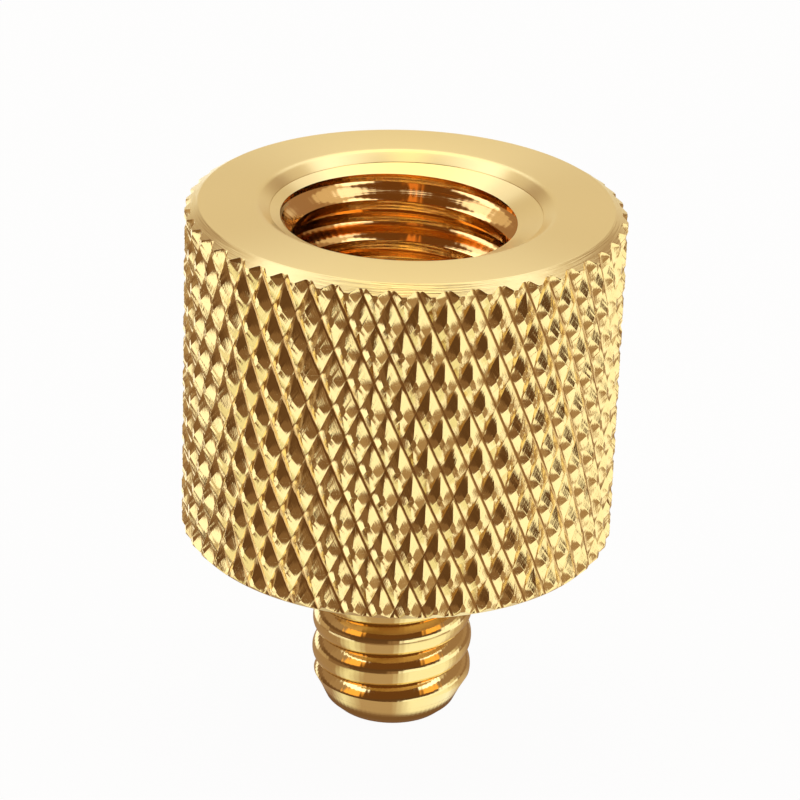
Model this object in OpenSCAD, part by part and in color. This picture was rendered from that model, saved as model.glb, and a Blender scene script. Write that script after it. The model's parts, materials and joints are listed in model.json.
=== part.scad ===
// Thread adapter turned from one brass bar: a short knurled barrel with a threaded
// bore in its top and a threaded stud under it.
// The origin is the centre of the stud's flat tip, and +Z runs up through the bore.
// Lengths are millimetres and angles are degrees.
// Both threads are left plain: the bore has its minor diameter and the stud its crest diameter.

/* [Barrel] */
// Diameter of the barrel over the knurl's tips
barrel_d = 16; // [15:0.1:22]
// Height of the barrel from the shoulder to the top face
barrel_h = 12.8; // [12.2:0.1:20]
// Width of the bevel round the top face
top_bevel_w = 0.5; // [0.35:0.05:0.8]
// Height of the bevel round the top face
top_bevel_h = 0.32; // [0.2:0.02:0.6]
// Width and height of the bevel round the shoulder
shoulder_bevel = 0.28; // [0.2:0.02:0.5]

/* [Knurl] */
// Number of diamonds round the barrel
knurl_count = 50; // [40:1:60]
// Angle between the knurl's grooves and the barrel's axis
knurl_angle = 24.7; // [20:0.1:35]
// Depth of the grooves where they cross
knurl_depth = 0.2; // [0.14:0.01:0.42]
// Share of each diamond that stays flat on top
knurl_flat = 0.36; // [0.1:0.01:0.5]

/* [Bore] */
// Diameter of the tapping bore, which is the minor diameter of the female thread
bore_d = 8; // [7.6:0.05:8.4]
// Depth of the bore's straight wall below the top face
bore_depth = 9; // [7:0.1:9.4]
// Point angle of the drill that leaves the bore's floor
drill_angle = 118; // [110:1:135]
// Diameter of the countersink at the top face
sink_d = 10.8; // [10.2:0.1:11.6]
// Diameter of the step line inside the countersink
sink_step_d = 9.86; // [9:0.02:10]
// Depth of the step line below the top face
sink_step_depth = 0.32; // [0.2:0.02:0.5]
// Depth of the countersink where it meets the bore
sink_depth = 0.7; // [0.6:0.02:1]

/* [Stud] */
// Diameter of the stud over the crests of its male thread
stud_d = 6; // [5.6:0.05:6.4]
// Length of the stud from the shoulder to its tip
stud_len = 7.4; // [5:0.1:14]
// Diameter of the flat tip that the adapter stands on
tip_d = 4.2; // [3.6:0.1:4.8]
// Height of the bevel between the tip and the crests
tip_bevel_h = 1.2; // [0.8:0.1:2]

/* [Hidden] */

// Sides of every round form
$fn = 96;

// Heights of the shoulder, the middle of the barrel and the top face
shoulder_z = stud_len;
middle_z = shoulder_z + barrel_h / 2;
top_z = shoulder_z + barrel_h;

// How far one solid runs into or past the next where they are joined or cut
overlap = 0.5;

// Radii at the grooves' crossings and on the diamonds' flat tops
tip_r = barrel_d / 2;
groove_r = tip_r - knurl_depth;

// Half of a diamond's angle round the barrel and half of its height
half_turn = 180 / knurl_count;
half_rise = PI * tip_r / knurl_count / tan(knurl_angle);

// Rows of crossings on each side of the middle, enough to run past both ends
rows_per_side = ceil((barrel_h / 2 + overlap) / half_rise + 0.5);
row_count = 2 * rows_per_side;
last_row = row_count - 1;

function row_z(row) = middle_z + (row - rows_per_side + 0.5) * half_rise;
function on_wall(r, angle, z) = [r * cos(angle), r * sin(angle), z];

// Crossings of the grooves sit at even places in even rows and at odd places in odd rows,
// and the diamonds' middles sit between them
function crossing(row, i) = on_wall(groove_r, (2 * i + row % 2) * half_turn, row_z(row));
function middle_angle(row, i) = (2 * i + 1 - row % 2) * half_turn;

// Corners of a diamond's flat top: left, right, upper and lower
function flat_corners(row, i) =
    let (angle = middle_angle(row, i), turn = knurl_flat * half_turn, rise = knurl_flat * half_rise)
    [
        on_wall(tip_r, angle - turn, row_z(row)),
        on_wall(tip_r, angle + turn, row_z(row)),
        on_wall(tip_r, angle, row_z(row) + rise),
        on_wall(tip_r, angle, row_z(row) - rise)
    ];

// Where each point stands in the list of the blank's points
flat_points = 4;
crossings = knurl_count * row_count;
function wrap(i) = (i + knurl_count) % knurl_count;
function crossing_no(row, i) = row * knurl_count + wrap(i);
function corner_no(row, i, corner) = crossings + flat_points * (row * knurl_count + wrap(i)) + corner;
low_centre = crossings + flat_points * crossings;
high_centre = low_centre + 1;

// The two crossings at the sides of a diamond, and the one above or below it
function left_no(row, i) = crossing_no(row, i - row % 2);
function right_no(row, i) = crossing_no(row, i + 1 - row % 2);
function next_no(row, i, step) = crossing_no(row + step, i);

// Faces of a diamond's upper half and of its lower half, seen clockwise from outside
function upper_faces(row, i) =
    let (l = left_no(row, i), r = right_no(row, i), u = next_no(row, i, 1),
         fl = corner_no(row, i, 0), fr = corner_no(row, i, 1), fu = corner_no(row, i, 2))
    [[l, u, fu], [l, fu, fl], [fl, fu, fr], [u, r, fr], [u, fr, fu]];

function lower_faces(row, i) =
    let (l = left_no(row, i), r = right_no(row, i), d = next_no(row, i, -1),
         fl = corner_no(row, i, 0), fr = corner_no(row, i, 1), fd = corner_no(row, i, 3))
    [[l, fl, fd], [l, fd, d], [fl, fr, fd], [d, fd, fr], [d, fr, r]];

// Faces that close the blank's flat ends round its axis
function low_cap(i) =
    let (l = left_no(0, i), r = right_no(0, i), fl = corner_no(0, i, 0), fr = corner_no(0, i, 1))
    [[low_centre, l, fl], [low_centre, fl, fr], [low_centre, fr, r]];

function high_cap(i) =
    let (l = left_no(last_row, i), r = right_no(last_row, i),
         fl = corner_no(last_row, i, 0), fr = corner_no(last_row, i, 1))
    [[high_centre, fl, l], [high_centre, fr, fl], [high_centre, r, fr]];

// Knurled bar, longer than the barrel at both ends
module knurled_blank() {
    points = concat(
        [for (row = [0:last_row], i = [0:knurl_count - 1]) crossing(row, i)],
        [for (row = [0:last_row], i = [0:knurl_count - 1], p = flat_corners(row, i)) p],
        [[0, 0, row_z(0)], [0, 0, row_z(last_row)]]
    );
    faces = concat(
        [for (row = [0:last_row - 1], i = [0:knurl_count - 1], f = upper_faces(row, i)) f],
        [for (row = [1:last_row], i = [0:knurl_count - 1], f = lower_faces(row, i)) f],
        [for (i = [0:knurl_count - 1], f = low_cap(i)) f],
        [for (i = [0:knurl_count - 1], f = high_cap(i)) f]
    );
    polyhedron(points = points, faces = faces, convexity = 4);
}

// Outline that bounds the barrel, with its bevels carried on just past the knurl's tips
module barrel_outline() {
    past = 1 + overlap / top_bevel_w;
    rotate_extrude()
        polygon([
            [0, shoulder_z],
            [tip_r - shoulder_bevel, shoulder_z],
            [tip_r + overlap, shoulder_z + shoulder_bevel + overlap],
            [tip_r + overlap, top_z - top_bevel_h * past],
            [tip_r - top_bevel_w, top_z],
            [0, top_z]
        ]);
}

// Threaded stud, with its root sunk into the barrel
module stud() {
    rotate_extrude()
        polygon([
            [0, 0],
            [tip_d / 2, 0],
            [stud_d / 2, tip_bevel_h],
            [stud_d / 2, shoulder_z + overlap],
            [0, shoulder_z + overlap]
        ]);
}

// Everything that is cut out of the top: countersink, bore and the drill's point
module bore() {
    bore_r = bore_d / 2;
    floor_z = top_z - bore_depth;
    point_z = floor_z - bore_r / tan(drill_angle / 2);
    rotate_extrude()
        polygon([
            [0, point_z],
            [bore_r, floor_z],
            [bore_r, top_z - sink_depth],
            [sink_step_d / 2, top_z - sink_step_depth],
            [sink_d / 2, top_z],
            [sink_d / 2, top_z + overlap],
            [0, top_z + overlap]
        ]);
}

module thread_adapter() {
    color([0.85, 0.66, 0.3])
        difference() {
            union() {
                intersection() {
                    knurled_blank();
                    barrel_outline();
                }
                stud();
            }
            bore();
        }
}

thread_adapter();
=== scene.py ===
import json
import math

import bpy
import numpy as np
from mathutils import Matrix, Vector


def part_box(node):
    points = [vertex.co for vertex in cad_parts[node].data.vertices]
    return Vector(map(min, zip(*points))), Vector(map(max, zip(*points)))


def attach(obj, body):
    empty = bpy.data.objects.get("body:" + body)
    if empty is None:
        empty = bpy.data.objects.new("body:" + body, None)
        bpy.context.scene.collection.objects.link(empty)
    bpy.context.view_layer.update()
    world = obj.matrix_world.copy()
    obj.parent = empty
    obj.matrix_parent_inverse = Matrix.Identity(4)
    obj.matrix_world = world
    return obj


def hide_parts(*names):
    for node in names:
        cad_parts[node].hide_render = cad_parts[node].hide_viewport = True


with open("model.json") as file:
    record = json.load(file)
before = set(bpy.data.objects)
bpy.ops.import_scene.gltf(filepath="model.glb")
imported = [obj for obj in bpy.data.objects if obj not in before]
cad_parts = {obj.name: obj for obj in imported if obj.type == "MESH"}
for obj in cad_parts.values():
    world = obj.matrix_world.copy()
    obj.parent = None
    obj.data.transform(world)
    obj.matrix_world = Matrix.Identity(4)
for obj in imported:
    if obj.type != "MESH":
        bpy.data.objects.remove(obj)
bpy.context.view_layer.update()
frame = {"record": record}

MM = 0.001
INCH = 25.4 * MM
PART = "thread_adapter"

# Sizes that the frame gives
mounts = {mount["name"]: mount for mount in frame["record"]["mounts"]}
high_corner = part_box(PART)[1]
TOP_Z = high_corner.z
TIP_R = high_corner.x
SHOULDER_Z = mounts["shoulder_face"]["pos_m"][2]
MIDDLE_Z = (SHOULDER_Z + TOP_Z) / 2
BORE_R = mounts["socket_3_8_16"]["dims"]["r_mm"] * MM
BORE_LENGTH = mounts["socket_3_8_16"]["dims"]["length_mm"] * MM
STUD_R = mounts["stud_1_4_20"]["dims"]["r_mm"] * MM

# Knurl
KNURL_COUNT = 50
KNURL_ANGLE = math.radians(24.7)
KNURL_DEPTH = 0.223 * MM
DEPTH_SPREAD = 0.04
HALF_TURN = math.pi / KNURL_COUNT
HALF_RISE = HALF_TURN * TIP_R / math.tan(KNURL_ANGLE)
LIP_SINK = 0.012 * MM
BURR = 0.002 * MM
KNURL_SEED = 7

# Lines of the knurl's mesh between a groove's bottom at 0 and the middle of a diamond at 1: the
# bottom, the wall, the lip's outer and inner slopes, and the flat top. Walls that face left are
# steeper than those that face right, and grooves that fall to the right have flatter bottoms than
# those that rise
LEFT_LINES = (0, 0.13, 0.68, 0.73, 0.79, 1)
RIGHT_LINES = (0, 0.13, 0.84, 0.88, 0.91, 1)
FALLING_DEPTHS = (1.06, 1, 0, 0, 0, 0)
RISING_DEPTHS = (1.06, 0.89, 0, 0, 0, 0)
LINE_LIPS = (1, 1, 1, 0, 1, 1)

# Bevels, turned top and countersink
TOP_BEVEL_W = 0.5 * MM
TOP_BEVEL_H = 0.32 * MM
SHOULDER_BEVEL = 0.28 * MM
EDGE_ROUND = 0.05 * MM
SHARP_ANGLE = math.radians(28)
SINK_R = 5.4 * MM
SINK_ROUND = 0.45 * MM
STEP_H = 0.02 * MM
STEP_R = 4.93 * MM
STEP_DEPTH = 0.32 * MM
RIM_DEPTH = 0.7 * MM

# Female thread, with the height of a crest at angle 0
SOCKET_PITCH = INCH / 16
SOCKET_CREST_Z = 18.12 * MM
SOCKET_ROOT_R = 4.56 * MM
# Ends of its flank, as shares of the way from a crest to the root, and how rounded the flank is
CREST_END = 0.2
ROOT_START = 0.9
FLANK_ROUNDING = 0.6
DRILL_HALF_ANGLE = math.radians(59)

# Male thread, with the height of a crest at angle 0
STUD_PITCH = INCH / 20
STUD_CREST_Z = 1.54 * MM
STUD_ROOT_R = 2.7 * MM
CREST_POWER = 2.2
TIP_FLAT_R = 2.1 * MM
# Points of radius and height between the flat tip and the first crest, and the roundings of the
# tip's edge and of these points
TIP_BEVEL = [(2.45 * MM, 0.32 * MM), (2.72 * MM, 0.9 * MM)]
TIP_BEVEL_END = 1.6 * MM
TIP_ROUNDS = {1: 0.1 * MM, 2: 0.2 * MM, 3: 0.3 * MM}

# Colours of the brass, where those of the bore, the shoulder and the grooves hold painted shade
BRASS_COLOUR = (0.95, 0.76, 0.36, 1)
KNURL_COLOUR = (0.94, 0.74, 0.335, 1)
SATIN_COLOUR = (0.96, 0.79, 0.42, 1)
# Darker and more orange than the stud's brass: painted shade and reflection of brass in brass inside
# the bore
BORE_SHADE_COLOUR = (0.97, 0.65, 0.28, 1)
# Dark brown for the shoulder's underside: painted shade under the barrel
SHOULDER_SHADE_COLOUR = (0.6, 0.36, 0.13, 1)
# Bottoms of the grooves that fall to the right: painted shade
GROOVE_SHADE_COLOUR = (0.64, 0.42, 0.16, 1)
# Half the width of a groove's painted shade with its soft edges, counted in grooves
GROOVE_SHADE_W = 0.08

# Roughness of each finish and the depth of its bump
TURNED_ROUGHNESS = 0.28
TURNED_ANISOTROPY = 0.8
TURNED_BUMP = 0.002 * MM
THREAD_ROUGHNESS = 0.1
THREAD_BUMP = 0.003 * MM
KNURL_ROUGHNESS = 0.12
KNURL_BUMP = 0.012 * MM
BUMP_STRENGTH = 0.5

# Marks of the tools: fine lines per metre, the streaks on the bevel and the rim with their size in
# each direction per metre, the ripples round a thread, and the knurl's marks per groove
RING_LINES = 9000.0
THREAD_LINES = 14000.0
STREAKS = 20.0
STREAKS_ALONG = 600.0
STREAKS_ACROSS = 16000.0
RIM_W = 0.12 * MM
CHATTER_COUNT = 88.0
CHATTER_SPREAD = 7
MARKS_ALONG = 3.0
MARKS_ACROSS = 20.0

# Floor, whose part near the object the metal mirrors as painted light and shadow, with the dark painted
# shade under the tip
FLOOR_REACH = 3.0
FLOOR_WHITE = (0.9, 0.9, 0.9, 1)
FLOOR_GLOW = 0.96
NEAR_FLOOR_R = 12 * MM
NEAR_FLOOR_EDGE = 2 * MM
TIP_SHADE = 0.2
TIP_SHADE_R = TIP_FLAT_R + 0.5 * MM
TIP_SHADE_EDGE = 0.2 * MM

# Light of the tent in rows from the lowest up, each with its highest elevation. A row runs round
# from behind the object past its left, its front and its right, as pairs of the azimuth where a
# part ends and the part's light. Angles are degrees, and azimuth 0 is the camera's side
ORANGE = (1.3, 0.62, 0.13)
DARK_RED = (0.15, 0.06, 0.018)
GLOW = (0.8, 0.27, 0.05)
YELLOW = (1.8, 1.65, 1.0)
# A plain light's green and blue, as shares of its red: their values at 0 and their rise to 1
DIM_GREEN = 0.43
GREEN_RISE = 0.57
DIM_BLUE = 0.16
BLUE_RISE = 0.63
TENT_ROWS = [
    # Mirrored by the knurl's walls that face down
    (-42, [(-130, 0.4), (-76, 0.12), (-64, 0.6), (-20, 1.0), (85, 1.3), (125, 0.6), (180, 0.4)]),
    # Mirrored by the diamonds' flat tops
    (-17, [(-126, 1.35), (-100, 0.3), (-56, 1.4), (28, 0.24), (90, 0.42), (115, 1.3), (155, 0.45),
           (180, 0.9)]),
    # Mirrored by the knurl's walls that face up
    (-1, [(-130, 1.3), (-100, 0.5), (-60, 0.25), (-5, 0.14), (12, 0.3), (106, 1.25), (155, 0.3),
          (180, 0.9)]),
    (11, [(-150, 0.8), (-120, 0.25), (-72, 0.16), (70, 0.12), (86, 1.3), (100, 0.8), (150, 0.4),
          (180, 0.7)]),
    # Mirrored by the top face from behind the object, and by the socket's thread from its front
    (36, [(-150, 0.75), (-104, 0.35), (-75, 0.4), (-48, ORANGE), (44, DARK_RED), (70, ORANGE),
          (150, 0.35), (180, 0.75)]),
    (50, [(-150, 1.3), (-104, 0.7), (-48, 1.9), (44, DARK_RED), (82, 1.9), (150, 0.7), (180, 1.3)]),
    # Mirrored by the countersink and the bevels
    (82, [(-150, YELLOW), (-88, 1.4), (-10, DARK_RED), (7, GLOW), (88, DARK_RED), (150, 1.4),
          (180, YELLOW)]),
    (90, [(-120, YELLOW), (120, 1.4), (180, YELLOW)]),
]
# Painted light and shadow of the floor near the object, which only the metal sees, by azimuth as in a
# row of the tent
NEAR_FLOOR_PAINTED_LIGHT = [(-62, 0.4), (-40, 0.95), (12, 0.5), (80, 1.1), (110, 0.6), (180, 0.4)]
ROW_SOFT = 1.5
PART_SOFT = 4
NEAR_FLOOR_SOFT = 10

# Camera, fitted to the outline of the object in the photograph
CAMERA_TURN = math.radians(-0.44)
CAMERA_DOWN = math.radians(24.49)
CAMERA_ROLL = math.radians(2.003)
CAMERA_LENS = 172.35
CAMERA_AWAY = 128.246 * MM
CAMERA_HEIGHT = 70.831 * MM

# Detail of the meshes, and the room by which a solid runs past what cuts it
ROUND_COLUMNS = 400
THREAD_COLUMNS = 100
THREAD_STEPS = 18
ROOM = 1 * MM


def new_object(name, vertices, faces):
    mesh = bpy.data.meshes.new(name)
    mesh.from_pydata(vertices, [], faces)
    mesh.update()
    item = bpy.data.objects.new(name, mesh)
    bpy.context.scene.collection.objects.link(item)
    return item


def cylinder_points(radius, height, angle):
    """Array of points from arrays of radii, heights and angles."""
    return np.stack([radius * np.cos(angle), radius * np.sin(angle), height], axis=-1)


def combine(body, other, operation):
    """Changes body by a boolean with other, and deletes other."""
    change = body.modifiers.new("change", "BOOLEAN")
    change.operation = operation
    change.solver = "MANIFOLD"
    change.object = other
    graph = bpy.context.evaluated_depsgraph_get()
    mesh = bpy.data.meshes.new_from_object(body.evaluated_get(graph))
    body.modifiers.clear()
    body.data = mesh
    bpy.data.objects.remove(other)


def fillet(before, corner, after, radius, steps=5):
    """Points of an arc that rounds a corner of an outline."""
    corner = Vector(corner)
    one = (Vector(before) - corner).normalized()
    two = (Vector(after) - corner).normalized()
    half = one.angle(two) / 2
    reach = radius / math.tan(half)
    centre = corner + (one + two).normalized() * radius / math.sin(half)
    start = corner + one * reach - centre
    end = corner + two * reach - centre
    sweep = start.angle(end)
    points = []
    for step in range(steps + 1):
        share = step / steps
        arm = (start * math.sin((1 - share) * sweep) + end * math.sin(share * sweep)) / math.sin(sweep)
        points.append(tuple(centre + arm))
    return points


def rounded(outline, radii):
    """The outline with the corners that radii names, as {place in the list: radius}, rounded."""
    points = []
    for place, corner in enumerate(outline):
        if place in radii:
            points.extend(fillet(outline[place - 1], corner, outline[place + 1], radii[place]))
        else:
            points.append(corner)
    return points


def revolve(name, outline, columns=ROUND_COLUMNS):
    """Closed solid from an outline of (radius, height) pairs, which runs up from the axis and
    back to it."""
    angles = np.arange(columns) * 2 * math.pi / columns
    walls = outline[1:-1]
    rings = [cylinder_points(radius, np.full(columns, height), angles) for radius, height in walls]
    vertices = np.concatenate(rings).tolist()
    low_centre = len(vertices)
    high_centre = low_centre + 1
    vertices.append((0, 0, outline[0][1]))
    vertices.append((0, 0, outline[-1][1]))
    last_ring = (len(walls) - 1) * columns
    faces = []
    for column in range(columns):
        beside = (column + 1) % columns
        faces.append((low_centre, beside, column))
        faces.append((high_centre, last_ring + column, last_ring + beside))
        for here in range(0, last_ring, columns):
            above = here + columns
            faces.append((here + column, here + beside, above + beside, above + column))
    return new_object(name, vertices, faces)


def helix_rod(name, pitch, crest_z, low_z, high_z, radius_at):
    """Closed rod with a right-hand thread. radius_at(turn) gives its radius, where turn runs from 0
    at one crest to 1 at the next."""
    first = math.floor((low_z - crest_z) / pitch) - 1
    last = math.ceil((high_z - crest_z) / pitch) + 1
    rows = (last - first) * THREAD_STEPS
    columns = THREAD_COLUMNS
    turns = first + np.arange(rows + 1) / THREAD_STEPS
    angles = np.arange(columns) * 2 * math.pi / columns
    turn, angle = np.meshgrid(turns, angles, indexing="ij")
    height = crest_z + (turn + angle / (2 * math.pi)) * pitch
    vertices = cylinder_points(radius_at(turn % 1), height, angle).reshape(-1, 3).tolist()
    low_centre = len(vertices)
    high_centre = low_centre + 1
    past = 4 * pitch
    vertices.append((0, 0, low_z - past))
    vertices.append((0, 0, high_z + past))
    faces = []
    for row in range(rows):
        here = row * columns
        above = here + columns
        for column in range(columns - 1):
            faces.append((here + column, here + column + 1, above + column + 1, above + column))
    # The last column meets the first one a whole turn higher up
    seam = columns - 1
    for row in range(rows - THREAD_STEPS):
        here = row * columns + seam
        beside = (row + THREAD_STEPS) * columns
        faces.append((here, beside, beside + columns, here + columns))
    low_loop = list(range(columns))
    low_loop += [row * columns for row in range(THREAD_STEPS, 0, -1)]
    high_loop = [rows * columns + column for column in range(columns)]
    high_loop += [row * columns + seam for row in range(rows - 1, rows - THREAD_STEPS - 1, -1)]
    for place, here in enumerate(low_loop):
        faces.append((low_centre, low_loop[(place + 1) % len(low_loop)], here))
    for place, here in enumerate(high_loop):
        faces.append((high_centre, here, high_loop[(place + 1) % len(high_loop)]))
    return new_object(name, vertices, faces)


def knurl_radius(falling, rising, random):
    """Radius of the knurl where two places meet, one counted across the grooves that fall to the
    right and one across those that rise. Grooves lie at whole numbers."""

    def by_line(place, values):
        near = 2 * np.abs(place - np.round(place))
        left = np.interp(near, LEFT_LINES, values)
        return np.where(place > np.round(place), left, np.interp(near, RIGHT_LINES, values))

    def wall(place, depths):
        spread = random.uniform(1 - DEPTH_SPREAD, 1 + DEPTH_SPREAD, KNURL_COUNT)
        number = np.mod(np.round(place), KNURL_COUNT).astype(int)
        depth = (KNURL_DEPTH - LIP_SINK) * spread[number]
        return TIP_R - depth * by_line(place, depths) - LIP_SINK * by_line(place, LINE_LIPS)

    return np.minimum(wall(falling, FALLING_DEPTHS), wall(rising, RISING_DEPTHS))


def knurled_blank():
    """Closed knurled bar that runs past the barrel at both ends. Its mesh lies along the grooves.
    A ring holds the points whose two places differ by the same count of lines."""
    random = np.random.default_rng(KNURL_SEED)
    reach = (TOP_Z - SHOULDER_Z) / 2 + ROOM / 2
    steps = np.concatenate([np.array(LEFT_LINES) / 2, 1 - np.array(RIGHT_LINES[-2:0:-1]) / 2])
    per_cell = len(steps)
    ring_size = KNURL_COUNT * per_cell
    # Height 0 of the lattice is the row of crossings half a row above the middle
    low_ring = math.floor((-reach / HALF_RISE - 0.5) * per_cell)
    high_ring = math.ceil((reach / HALF_RISE - 0.5) * per_cell)
    ring, first = np.meshgrid(np.arange(low_ring, high_ring + 1), np.arange(ring_size), indexing="ij")
    second = first - ring
    falling = first // per_cell + steps[first % per_cell]
    rising = second // per_cell + steps[second % per_cell]
    radius = knurl_radius(falling, rising, random)
    # Burrs make the flat tops and their lips uneven
    burr = np.abs(random.normal(0, BURR, radius.shape))
    radius -= burr * (radius > TIP_R - LIP_SINK * 1.5)
    across = falling + rising - 1
    up = falling - rising
    height = MIDDLE_Z + (up + 0.5) * HALF_RISE
    points = cylinder_points(radius, height, across * HALF_TURN).reshape(-1, 3)

    low_centre = len(points)
    high_centre = low_centre + 1
    ends = [(0, 0, height.min()), (0, 0, height.max())]
    place = np.arange(ring_size)
    beside = (place + 1) % ring_size
    last = (high_ring - low_ring) * ring_size
    triangles = [
        np.stack([np.full(ring_size, low_centre), beside, place], axis=-1),
        np.stack([np.full(ring_size, high_centre), last + place, last + beside], axis=-1),
        np.stack([place, beside, beside + ring_size], axis=-1),
        np.stack([last + place, last - ring_size + place, last + beside], axis=-1),
    ]
    for row in range(1, high_ring - low_ring):
        here = row * ring_size
        left = here + place
        right = here + beside
        upper = left + ring_size + (beside - place)
        lower = left - ring_size
        # A diamond's upper and lower ridges run up its middle, where a small cell is cut upright
        turn = place % per_cell + (place - row - low_ring) % per_cell
        upright = (turn == per_cell - 1)[:, None]
        one = np.where(upright, np.stack([left, lower, upper], -1), np.stack([left, right, upper], -1))
        two = np.where(upright, np.stack([lower, right, upper], -1), np.stack([left, lower, right], -1))
        triangles += [one, two]
    faces = np.concatenate(triangles).tolist()
    return new_object("knurled_blank", points.tolist() + ends, faces)


def barrel_outline():
    past = 1 + ROOM / TOP_BEVEL_W
    outline = [
        (0, SHOULDER_Z),
        (TIP_R - SHOULDER_BEVEL, SHOULDER_Z),
        (TIP_R + ROOM, SHOULDER_Z + SHOULDER_BEVEL + ROOM),
        (TIP_R + ROOM, TOP_Z - TOP_BEVEL_H * past),
        (TIP_R - TOP_BEVEL_W, TOP_Z),
        (0, TOP_Z),
    ]
    return revolve("barrel_outline", rounded(outline, {1: EDGE_ROUND, 4: EDGE_ROUND}))


def stud_radius(turn):
    """Soft wide crests and sharp roots."""
    from_crest = 2 * np.minimum(turn, 1 - turn)
    return STUD_ROOT_R + (STUD_R - STUD_ROOT_R) * (1 - from_crest**CREST_POWER)


def stud():
    rod = helix_rod("stud_rod", STUD_PITCH, STUD_CREST_Z, 0, SHOULDER_Z + ROOM, stud_radius)
    outline = [
        (0, 0),
        (TIP_FLAT_R, 0),
        *TIP_BEVEL,
        (STUD_R + ROOM / 10, TIP_BEVEL_END),
        (STUD_R + ROOM, TIP_BEVEL_END + ROOM),
        (STUD_R + ROOM, SHOULDER_Z + ROOM / 2),
        (0, SHOULDER_Z + ROOM / 2),
    ]
    limit = revolve("stud_limit", rounded(outline, TIP_ROUNDS))
    combine(rod, limit, "INTERSECT")
    return rod


def socket_radius(turn):
    """Soft crests at the bore's wall and sloping flanks to a narrow root."""
    from_crest = 2 * np.minimum(turn, 1 - turn)
    climb = np.clip((from_crest - CREST_END) / (ROOT_START - CREST_END), 0, 1)
    smooth = climb * climb * (3 - 2 * climb)
    return BORE_R + (SOCKET_ROOT_R - BORE_R) * ((1 - FLANK_ROUNDING) * climb + FLANK_ROUNDING * smooth)


def socket_cutter():
    """Everything that is cut out of the top."""
    floor_z = TOP_Z - RIM_DEPTH - BORE_LENGTH
    point_z = floor_z - BORE_R / math.tan(DRILL_HALF_ANGLE)
    limit_r = BORE_R * 2
    high_z = TOP_Z + 2 * ROOM
    limit = [
        (0, point_z),
        (limit_r, point_z + limit_r / math.tan(DRILL_HALF_ANGLE)),
        (limit_r, TOP_Z + ROOM),
        (0, TOP_Z + ROOM),
    ]
    cutter = helix_rod("socket_rod", SOCKET_PITCH, SOCKET_CREST_Z, point_z, high_z, socket_radius)
    combine(cutter, revolve("socket_limit", limit), "INTERSECT")
    slope = (RIM_DEPTH - STEP_DEPTH) / (STEP_R - BORE_R)
    inner_r = BORE_R - ROOM / 4
    sink = [
        (0, TOP_Z - RIM_DEPTH - slope * ROOM / 4),
        (inner_r, TOP_Z - RIM_DEPTH - slope * ROOM / 4),
        (STEP_R, TOP_Z - STEP_DEPTH - STEP_H / 2),
        (STEP_R + STEP_H / 2, TOP_Z - STEP_DEPTH + STEP_H / 2),
        (SINK_R, TOP_Z),
        (SINK_R + ROOM, TOP_Z),
        (SINK_R + ROOM, TOP_Z + ROOM),
        (0, TOP_Z + ROOM),
    ]
    combine(cutter, revolve("sink", rounded(sink, {4: SINK_ROUND})), "UNION")
    return cutter


def adapter():
    body = knurled_blank()
    combine(body, barrel_outline(), "INTERSECT")
    combine(body, stud(), "UNION")
    combine(body, socket_cutter(), "DIFFERENCE")
    body.name = "brass_adapter"
    body.data.name = "brass_adapter"
    body.data.polygons.foreach_set("use_smooth", np.ones(len(body.data.polygons), bool))
    body.data.set_sharp_from_angle(angle=SHARP_ANGLE)
    return body


def node(tree, kind, **settings):
    """New node with its own settings and, for names of sockets, their values."""
    made = tree.nodes.new(kind)
    for name, value in settings.items():
        if hasattr(made, name):
            setattr(made, name, value)
        else:
            made.inputs[name.replace("_", " ")].default_value = value
    return made


def calculate(tree, operation, first, second=None):
    """Output of a math node. Each operand is a number or a socket."""
    made = node(tree, "ShaderNodeMath", operation=operation)
    for socket, value in zip(made.inputs, (first, second)):
        if isinstance(value, (int, float)):
            socket.default_value = value
        elif value is not None:
            tree.links.new(value, socket)
    return made.outputs[0]


def brass(name, roughness, colour=BRASS_COLOUR, anisotropy=0):
    """Bare brass: a new material, its tree, its shader and its object coordinates."""
    material = bpy.data.materials.new(name)
    material.use_nodes = True
    tree = material.node_tree
    shader = tree.nodes["Principled BSDF"]
    shader.inputs["Base Color"].default_value = colour
    shader.inputs["Metallic"].default_value = 1
    shader.inputs["Roughness"].default_value = roughness
    shader.inputs["Anisotropic"].default_value = anisotropy
    shader.inputs["Anisotropic Rotation"].default_value = 0.25
    place = node(tree, "ShaderNodeTexCoord").outputs["Object"]
    return material, tree, shader, place


def soft_step(tree, value, start, end):
    """0 below start and 1 above end, with a smooth change between them."""
    step = node(tree, "ShaderNodeMapRange", interpolation_type="SMOOTHSTEP")
    step.inputs["From Min"].default_value = start
    step.inputs["From Max"].default_value = end
    tree.links.new(value, step.inputs["Value"])
    return step.outputs["Result"]


def add_bump(tree, shader, height, distance):
    bump = node(tree, "ShaderNodeBump", Strength=BUMP_STRENGTH, Distance=distance)
    tree.links.new(height, bump.inputs["Height"])
    tree.links.new(bump.outputs["Normal"], shader.inputs["Normal"])


def separate(tree, place):
    """The three coordinates of a place, as sockets."""
    parts = node(tree, "ShaderNodeSeparateXYZ")
    tree.links.new(place, parts.inputs[0])
    return parts.outputs


def axis_parts(tree, place):
    """Distance from the axis, angle round it and height, as sockets."""
    x, y, z = separate(tree, place)
    x_squared = calculate(tree, "MULTIPLY", x, x)
    y_squared = calculate(tree, "MULTIPLY", y, y)
    radius = calculate(tree, "SQRT", calculate(tree, "ADD", x_squared, y_squared))
    return radius, calculate(tree, "ARCTAN2", y, x), z


def line_noise(tree, value, scale):
    """Uneven lines along one coordinate."""
    noise = node(tree, "ShaderNodeTexNoise", noise_dimensions="1D", Scale=scale, Detail=2)
    tree.links.new(value, noise.inputs["W"])
    return noise.outputs["Fac"]


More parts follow.
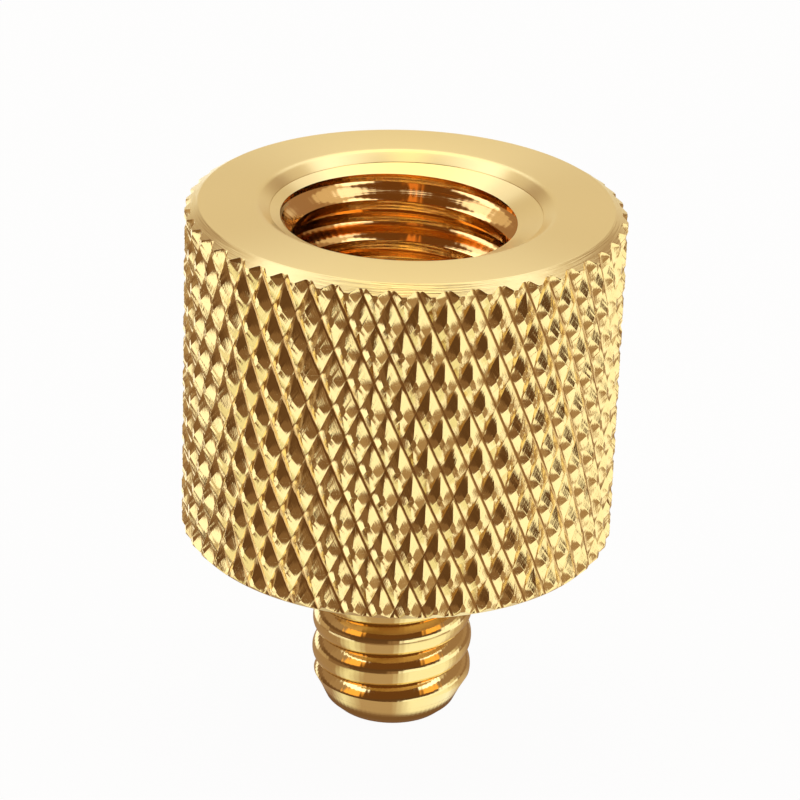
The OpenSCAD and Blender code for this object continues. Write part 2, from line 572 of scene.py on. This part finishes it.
def stretched_noise(tree, sockets, scales, detail):
    """Noise over the given coordinates, each with its own scale."""
    place = node(tree, "ShaderNodeCombineXYZ")
    for socket, scale, target in zip(sockets, scales, place.inputs):
        tree.links.new(calculate(tree, "MULTIPLY", socket, scale), target)
    noise = node(tree, "ShaderNodeTexNoise", Scale=1, Detail=detail)
    tree.links.new(place.outputs[0], noise.inputs["Vector"])
    return noise.outputs["Fac"]


def turned_brass(name, colour):
    """Satin faces with the fine rings of a lathe tool, and coarse streaks round the bevel and the
    rim."""
    material, tree, shader, place = brass(name, TURNED_ROUGHNESS, colour, TURNED_ANISOTROPY)
    x, y, height = separate(tree, place)
    radius = axis_parts(tree, place)[0]
    across = calculate(tree, "SUBTRACT", radius, height)
    rings = line_noise(tree, across, RING_LINES)
    noise = stretched_noise(tree, (x, y, across), (STREAKS_ALONG, STREAKS_ALONG, STREAKS_ACROSS), 2)
    bevel = calculate(tree, "GREATER_THAN", radius, TIP_R - TOP_BEVEL_W + EDGE_ROUND / 2)
    rim = calculate(tree, "LESS_THAN", radius, BORE_R + RIM_W)
    streaks = calculate(tree, "MULTIPLY", noise, calculate(tree, "ADD", bevel, rim))
    relief = calculate(tree, "ADD", rings, calculate(tree, "MULTIPLY", streaks, STREAKS))
    add_bump(tree, shader, relief, TURNED_BUMP)
    around = node(tree, "ShaderNodeTangent", direction_type="RADIAL", axis="Z")
    tree.links.new(around.outputs[0], shader.inputs["Tangent"])
    return material


def threaded_brass(name, colour):
    """Polished threads with fine lines round them and the tool's chatter across them."""
    material, tree, shader, place = brass(name, THREAD_ROUGHNESS, colour)
    radius, angle, height = axis_parts(tree, place)
    lines = line_noise(tree, calculate(tree, "ADD", radius, height), THREAD_LINES)
    wave = calculate(tree, "SINE", calculate(tree, "MULTIPLY", angle, CHATTER_COUNT))
    uneven = calculate(tree, "MULTIPLY", wave, line_noise(tree, angle, CHATTER_COUNT / CHATTER_SPREAD))
    add_bump(tree, shader, calculate(tree, "ADD", lines, uneven), THREAD_BUMP)
    return material


def groove_marks(tree, along, across):
    """Fine uneven lines along a groove. Both places are counted in grooves."""
    return stretched_noise(tree, (along, across), (MARKS_ALONG, MARKS_ACROSS), 3)


def to_groove(tree, place):
    """How far a place that is counted in grooves lies from the nearest groove."""
    off = calculate(tree, "SUBTRACT", place, calculate(tree, "ROUND", place))
    return calculate(tree, "ABSOLUTE", off)


def knurled_brass():
    """Bright walls with the roll's marks along the nearer groove, and painted shade in the bottoms of
    the grooves that fall to the right."""
    material, tree, shader, place = brass("knurled_brass", KNURL_ROUGHNESS)
    angle, height = axis_parts(tree, place)[1:]
    turn = calculate(tree, "DIVIDE", angle, HALF_TURN)
    rise = calculate(tree, "DIVIDE", calculate(tree, "SUBTRACT", height, MIDDLE_Z), HALF_RISE)
    up = calculate(tree, "SUBTRACT", rise, 0.5)
    both = calculate(tree, "ADD", calculate(tree, "ADD", turn, up), 1.0)
    falling = calculate(tree, "DIVIDE", both, 2.0)
    rising = calculate(tree, "SUBTRACT", falling, up)
    to_falling = to_groove(tree, falling)
    to_rising = to_groove(tree, rising)
    marks = node(tree, "ShaderNodeMix", data_type="FLOAT")
    tree.links.new(calculate(tree, "LESS_THAN", to_falling, to_rising), marks.inputs[0])
    tree.links.new(groove_marks(tree, falling, rising), marks.inputs[2])
    tree.links.new(groove_marks(tree, rising, falling), marks.inputs[3])
    add_bump(tree, shader, marks.outputs[0], KNURL_BUMP)
    # Painted shade in the bottoms of the grooves that fall to the right
    shade = node(tree, "ShaderNodeMix", data_type="RGBA")
    tree.links.new(soft_step(tree, to_falling, GROOVE_SHADE_W / 2, GROOVE_SHADE_W), shade.inputs[0])
    shade.inputs[6].default_value = GROOVE_SHADE_COLOUR
    shade.inputs[7].default_value = KNURL_COLOUR
    tree.links.new(shade.outputs[2], shader.inputs["Base Color"])
    return material


def paint(piece):
    """Gives every face of the adapter its finish by where it lies, with painted shade in the colours of
    the bore and the shoulder.
    """
    mesh = piece.data
    mesh.materials.clear()
    finishes = [
        knurled_brass(),
        turned_brass("turned_brass", SATIN_COLOUR),
        threaded_brass("stud_brass", BRASS_COLOUR),
        # Darker, more orange copy of the stud's brass: painted shade and reflection inside the bore
        threaded_brass("bore_brass", BORE_SHADE_COLOUR),
        # Dark copy of the turned brass: painted shade on the shoulder's underside
        turned_brass("shoulder_brass", SHOULDER_SHADE_COLOUR),
    ]
    knurl_place, turned_place, stud_place, bore_place, shoulder_place = range(len(finishes))
    for material in finishes:
        mesh.materials.append(material)
    count = len(mesh.polygons)
    centres = np.empty(count * 3)
    normals = np.empty(count * 3)
    mesh.polygons.foreach_get("center", centres)
    mesh.polygons.foreach_get("normal", normals)
    x, y, z = centres.reshape(-1, 3).T
    up = normals.reshape(-1, 3)[:, 2]
    radius = np.hypot(x, y)
    steep = 0.6
    sloping = 0.3
    level = 0.9
    margin = 0.01 * MM
    shoulder_margin = 0.1 * MM
    outside = radius > TIP_R - TOP_BEVEL_W
    knurl = outside & (np.abs(up) < steep)
    sink = (radius > BORE_R + margin) & (z > TOP_Z - RIM_DEPTH) & (up > sloping)
    shoulder = (radius > STUD_R + shoulder_margin) & (up < -level)
    bore = (radius < SOCKET_ROOT_R) & (z > SHOULDER_Z) & ~sink
    finish = np.select(
        [knurl, shoulder, sink | outside, bore],
        [knurl_place, shoulder_place, turned_place, bore_place],
        stud_place,
    )
    mesh.polygons.foreach_set("material_index", finish)


def make_camera():
    """Camera at the photograph's viewing angle."""
    data = bpy.data.cameras.new("camera")
    data.sensor_width = 36
    data.lens = CAMERA_LENS
    data.clip_start = 0.01
    camera = bpy.data.objects.new("camera", data)
    bpy.context.scene.collection.objects.link(camera)
    right = Vector((1, 0, 0))
    forward = Vector((0, math.cos(CAMERA_DOWN), -math.sin(CAMERA_DOWN)))
    up = right.cross(forward)
    rolled_right = right * math.cos(CAMERA_ROLL) + up * math.sin(CAMERA_ROLL)
    rolled_up = up * math.cos(CAMERA_ROLL) - right * math.sin(CAMERA_ROLL)
    axes = Matrix((rolled_right, rolled_up, -forward)).transposed().to_4x4()
    place = Matrix.Translation((0, -CAMERA_AWAY, CAMERA_HEIGHT))
    camera.matrix_world = Matrix.Rotation(CAMERA_TURN, 4, "Z") @ place @ axes
    bpy.context.scene.camera = camera


def lamp_colour(light):
    """Warm when dim and white when bright, unless light is a colour."""
    if isinstance(light, tuple):
        return (*light, 1)
    green = min(DIM_GREEN + GREEN_RISE * light, 1)
    blue = min(DIM_BLUE + BLUE_RISE * light, 1)
    return (light, light * green, light * blue, 1)


def azimuth_of(tree, x, y):
    """Angle round the object in degrees, with 0 on the camera's side."""
    towards = calculate(tree, "MULTIPLY", y, -1.0)
    return calculate(tree, "DEGREES", calculate(tree, "ARCTAN2", x, towards))


def light_row(tree, azimuth, row, soft=PART_SOFT):
    """Colour that changes with the azimuth in degrees."""
    share = calculate(tree, "ADD", calculate(tree, "DIVIDE", azimuth, 360.0), 0.5)
    made = node(tree, "ShaderNodeValToRGB")
    tree.links.new(share, made.inputs[0])
    stops = made.color_ramp.elements
    stops[0].position = 0
    stops[0].color = lamp_colour(row[0][1])
    stops[1].position = 1
    stops[1].color = lamp_colour(row[-1][1])
    for (end, light), (_, next_light) in zip(row, row[1:]):
        stops.new(0.5 + (end - soft) / 360).color = lamp_colour(light)
        stops.new(0.5 + (end + soft) / 360).color = lamp_colour(next_light)
    return made.outputs["Color"]


def mix_shaders(tree, share, first, second):
    made = node(tree, "ShaderNodeMixShader")
    tree.links.new(share, made.inputs[0])
    tree.links.new(first.outputs[0], made.inputs[1])
    tree.links.new(second.outputs[0], made.inputs[2])
    return made


def make_floor():
    """White floor that keeps the object's soft shadow. The metal sees only the part near the object,
    which glows with painted light and shadow that change round the object and a dark painted shade
    under the tip, and the tent through the rest."""
    far = FLOOR_REACH
    corners = [(-far, -far, 0), (far, -far, 0), (far, far, 0), (-far, far, 0)]
    floor = new_object("floor", corners, [(0, 1, 2, 3)])
    material = bpy.data.materials.new("floor_white")
    material.use_nodes = True
    tree = material.node_tree
    shader = tree.nodes["Principled BSDF"]
    shader.inputs["Base Color"].default_value = FLOOR_WHITE
    shader.inputs["Roughness"].default_value = 0.8
    shader.inputs["Specular IOR Level"].default_value = 0
    glow = node(tree, "ShaderNodeEmission", Strength=1)
    near_glow = node(tree, "ShaderNodeEmission", Strength=1)
    clear = node(tree, "ShaderNodeBsdfTransparent")
    path = node(tree, "ShaderNodeLightPath")
    place = node(tree, "ShaderNodeTexCoord").outputs["Object"]
    x, y = separate(tree, place)[:2]
    # Painted light and shadow on the floor near the object, for the metal only
    near_light = light_row(tree, azimuth_of(tree, x, y), NEAR_FLOOR_PAINTED_LIGHT, NEAR_FLOOR_SOFT)
    tree.links.new(near_light, near_glow.inputs["Color"])
    radius = axis_parts(tree, place)[0]
    beyond = soft_step(tree, radius, NEAR_FLOOR_R - NEAR_FLOOR_EDGE, NEAR_FLOOR_R + NEAR_FLOOR_EDGE)
    shade = node(tree, "ShaderNodeEmission", Color=lamp_colour(TIP_SHADE), Strength=1)
    past_shade = soft_step(tree, radius, TIP_SHADE_R, TIP_SHADE_R + TIP_SHADE_EDGE)
    painted_floor = mix_shaders(tree, past_shade, shade, near_glow)
    reflected = mix_shaders(tree, beyond, painted_floor, clear)
    lit = mix_shaders(tree, path.outputs["Is Glossy Ray"], shader, reflected)
    seen = calculate(tree, "MULTIPLY", path.outputs["Is Camera Ray"], FLOOR_GLOW)
    mix = mix_shaders(tree, seen, lit, glow)
    tree.links.new(mix.outputs[0], tree.nodes["Material Output"].inputs["Surface"])
    floor.data.materials.append(material)


def make_world():
    """White to the camera. To the metal it is a pale tent with dark parts."""
    world = bpy.data.worlds.new("studio")
    bpy.context.scene.world = world
    world.use_nodes = True
    tree = world.node_tree
    x, y, z = separate(tree, node(tree, "ShaderNodeTexCoord").outputs["Generated"])
    azimuth = azimuth_of(tree, x, y)
    elevation = calculate(tree, "DEGREES", calculate(tree, "ARCSINE", z))
    colour = light_row(tree, azimuth, TENT_ROWS[0][1])
    for (low, _), (_, row) in zip(TENT_ROWS, TENT_ROWS[1:]):
        mix = node(tree, "ShaderNodeMix", data_type="RGBA")
        tree.links.new(soft_step(tree, elevation, low - ROW_SOFT, low + ROW_SOFT), mix.inputs[0])
        tree.links.new(colour, mix.inputs[6])
        tree.links.new(light_row(tree, azimuth, row), mix.inputs[7])
        colour = mix.outputs[2]
    tent = tree.nodes["Background"]
    tree.links.new(colour, tent.inputs["Color"])
    white = node(tree, "ShaderNodeBackground", Strength=1)
    white.inputs["Color"].default_value = (1, 1, 1, 1)
    path = node(tree, "ShaderNodeLightPath")
    mix = mix_shaders(tree, path.outputs["Is Camera Ray"], tent, white)
    tree.links.new(mix.outputs[0], tree.nodes["World Output"].inputs["Surface"])


make_camera()
make_floor()
make_world()

piece = adapter()
paint(piece)
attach(piece, "root")
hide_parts(PART)

view = bpy.context.scene.view_settings
view.view_transform = "Standard"
